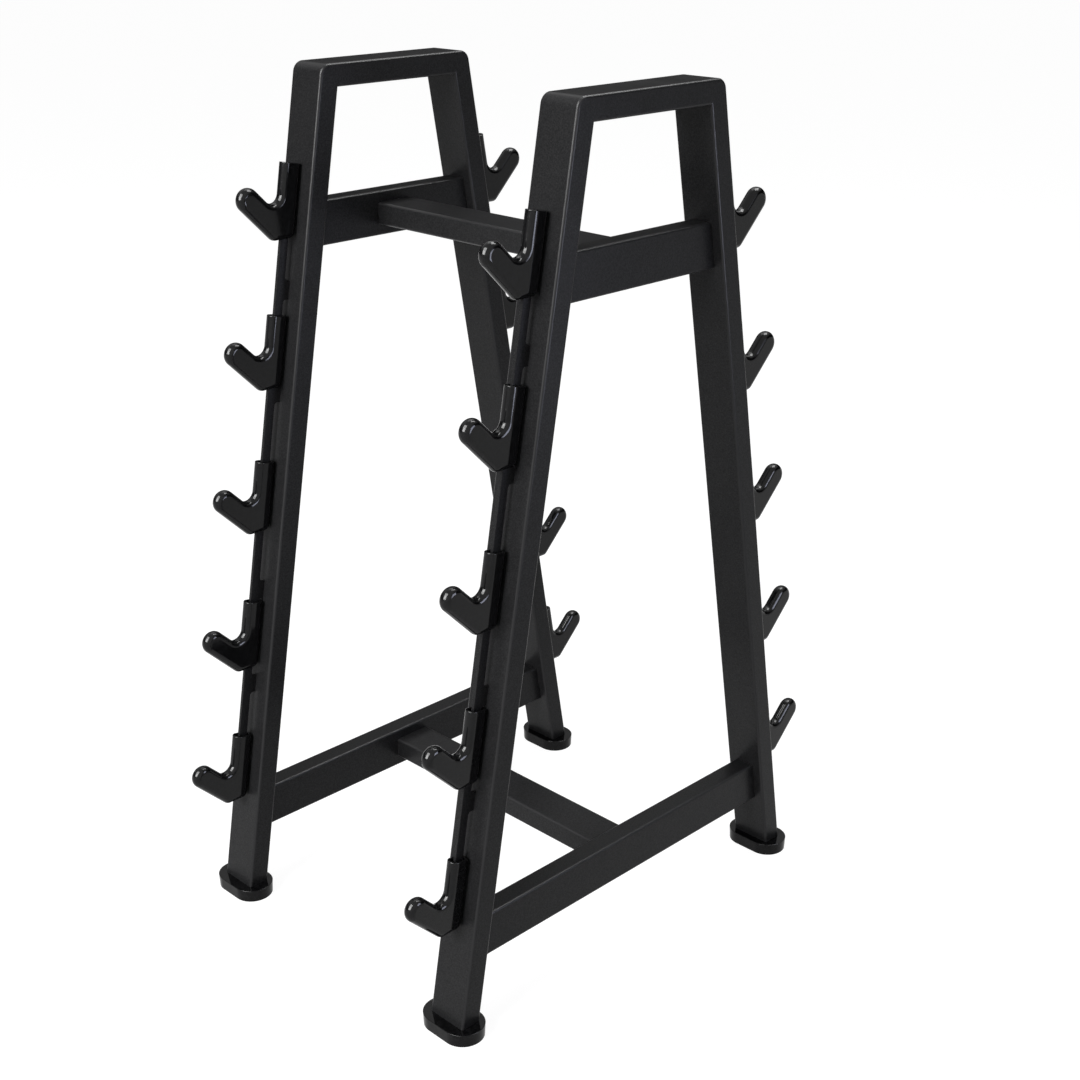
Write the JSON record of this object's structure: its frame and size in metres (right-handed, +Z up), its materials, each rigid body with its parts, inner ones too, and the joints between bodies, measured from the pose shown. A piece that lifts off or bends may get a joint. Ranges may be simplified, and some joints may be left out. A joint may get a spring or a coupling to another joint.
{
  "type": "barbell storage rack",
  "caption": "Free-standing steel rack: two leaning side frames joined by beams, with upturned padded hooks on both sides for storing barbells.",
  "frame": {"origin": "centre of the footprint, on the floor", "axes": "+X along the stored bars and the beams, +Y from the front hooks to the rear hooks, +Z up"},
  "size_m": [0.722, 1.0268, 1.53],
  "materials": {
    "frame_paint": "satin",
    "cover_moulding": "gloss",
    "foot_moulding": "gloss"
  },
  "bodies": {
    "root": {"leg_left_front": "frame_paint", "foot_left_front": "foot_moulding", "hook_rail_left_front": "frame_paint", "hook_cover_left_front_1": "cover_moulding", "hook_cover_left_front_2": "cover_moulding", "hook_cover_left_front_3": "cover_moulding", "hook_cover_left_front_4": "cover_moulding", "hook_cover_left_front_5": "cover_moulding", "leg_left_rear": "frame_paint", "foot_left_rear": "foot_moulding", "hook_rail_left_rear": "frame_paint", "hook_cover_left_rear_1": "cover_moulding", "hook_cover_left_rear_2": "cover_moulding", "hook_cover_left_rear_3": "cover_moulding", "hook_cover_left_rear_4": "cover_moulding", "hook_cover_left_rear_5": "cover_moulding", "top_tube_left": "frame_paint", "cross_tube_upper_left": "frame_paint", "cross_tube_lower_left": "frame_paint", "leg_right_front": "frame_paint", "foot_right_front": "foot_moulding", "hook_rail_right_front": "frame_paint", "hook_cover_right_front_1": "cover_moulding", "hook_cover_right_front_2": "cover_moulding", "hook_cover_right_front_3": "cover_moulding", "hook_cover_right_front_4": "cover_moulding", "hook_cover_right_front_5": "cover_moulding", "leg_right_rear": "frame_paint", "foot_right_rear": "foot_moulding", "hook_rail_right_rear": "frame_paint", "hook_cover_right_rear_1": "cover_moulding", "hook_cover_right_rear_2": "cover_moulding", "hook_cover_right_rear_3": "cover_moulding", "hook_cover_right_rear_4": "cover_moulding", "hook_cover_right_rear_5": "cover_moulding", "top_tube_right": "frame_paint", "cross_tube_upper_right": "frame_paint", "cross_tube_lower_right": "frame_paint", "beam_upper": "frame_paint", "beam_lower": "frame_paint"}
  },
  "joints": []
}
